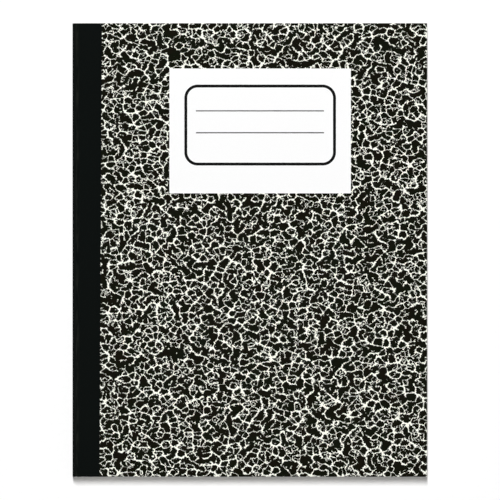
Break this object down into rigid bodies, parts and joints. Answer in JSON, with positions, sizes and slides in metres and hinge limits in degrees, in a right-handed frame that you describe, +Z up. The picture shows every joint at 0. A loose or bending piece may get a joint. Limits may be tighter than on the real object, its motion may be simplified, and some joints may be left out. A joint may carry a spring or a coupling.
{
  "type": "composition notebook",
  "caption": "Sewn composition notebook with marbled board covers, a black taped spine, a framed name label and ruled leaves; both covers open.",
  "frame": {"origin": "middle of the footprint, on the surface that the closed book lies on", "axes": "+X from the spine to the fore edge, +Y from the tail to the head, +Z up through the front cover"},
  "size_m": [0.1938, 0.2476, 0.0103],
  "materials": {
    "leaves": "uncoated writing paper, trimmed edges",
    "marbled_board": "cover board printed with a black marble on cream, slight gloss",
    "tape": "black binding tape with a fine linen grain",
    "label_paper": "smooth white label paper",
    "thread": "white sewing thread"
  },
  "bodies": {
    "book_block": {"page_block": "leaves", "sewing_thread": "thread", "cover_spine": "marbled_board", "spine_tape": "tape"},
    "front_cover": {"front_cover": "marbled_board", "front_tape_lap": "tape", "name_label": "label_paper"},
    "back_cover": {"back_cover": "marbled_board", "back_tape_lap": "tape"}
  },
  "joints": [
    {"name": "front_cover_hinge", "type": "hinge", "parent": "book_block", "child": "front_cover", "pos_m": [-0.09166, 0, 0.01043], "axis": [0, -1, 0], "range_deg": [0, 179.9]},
    {"name": "back_cover_hinge", "type": "hinge", "parent": "book_block", "child": "back_cover", "pos_m": [-0.09166, 0, -0.00015], "axis": [0, 1, 0], "range_deg": [0, 179.9]}
  ]
}
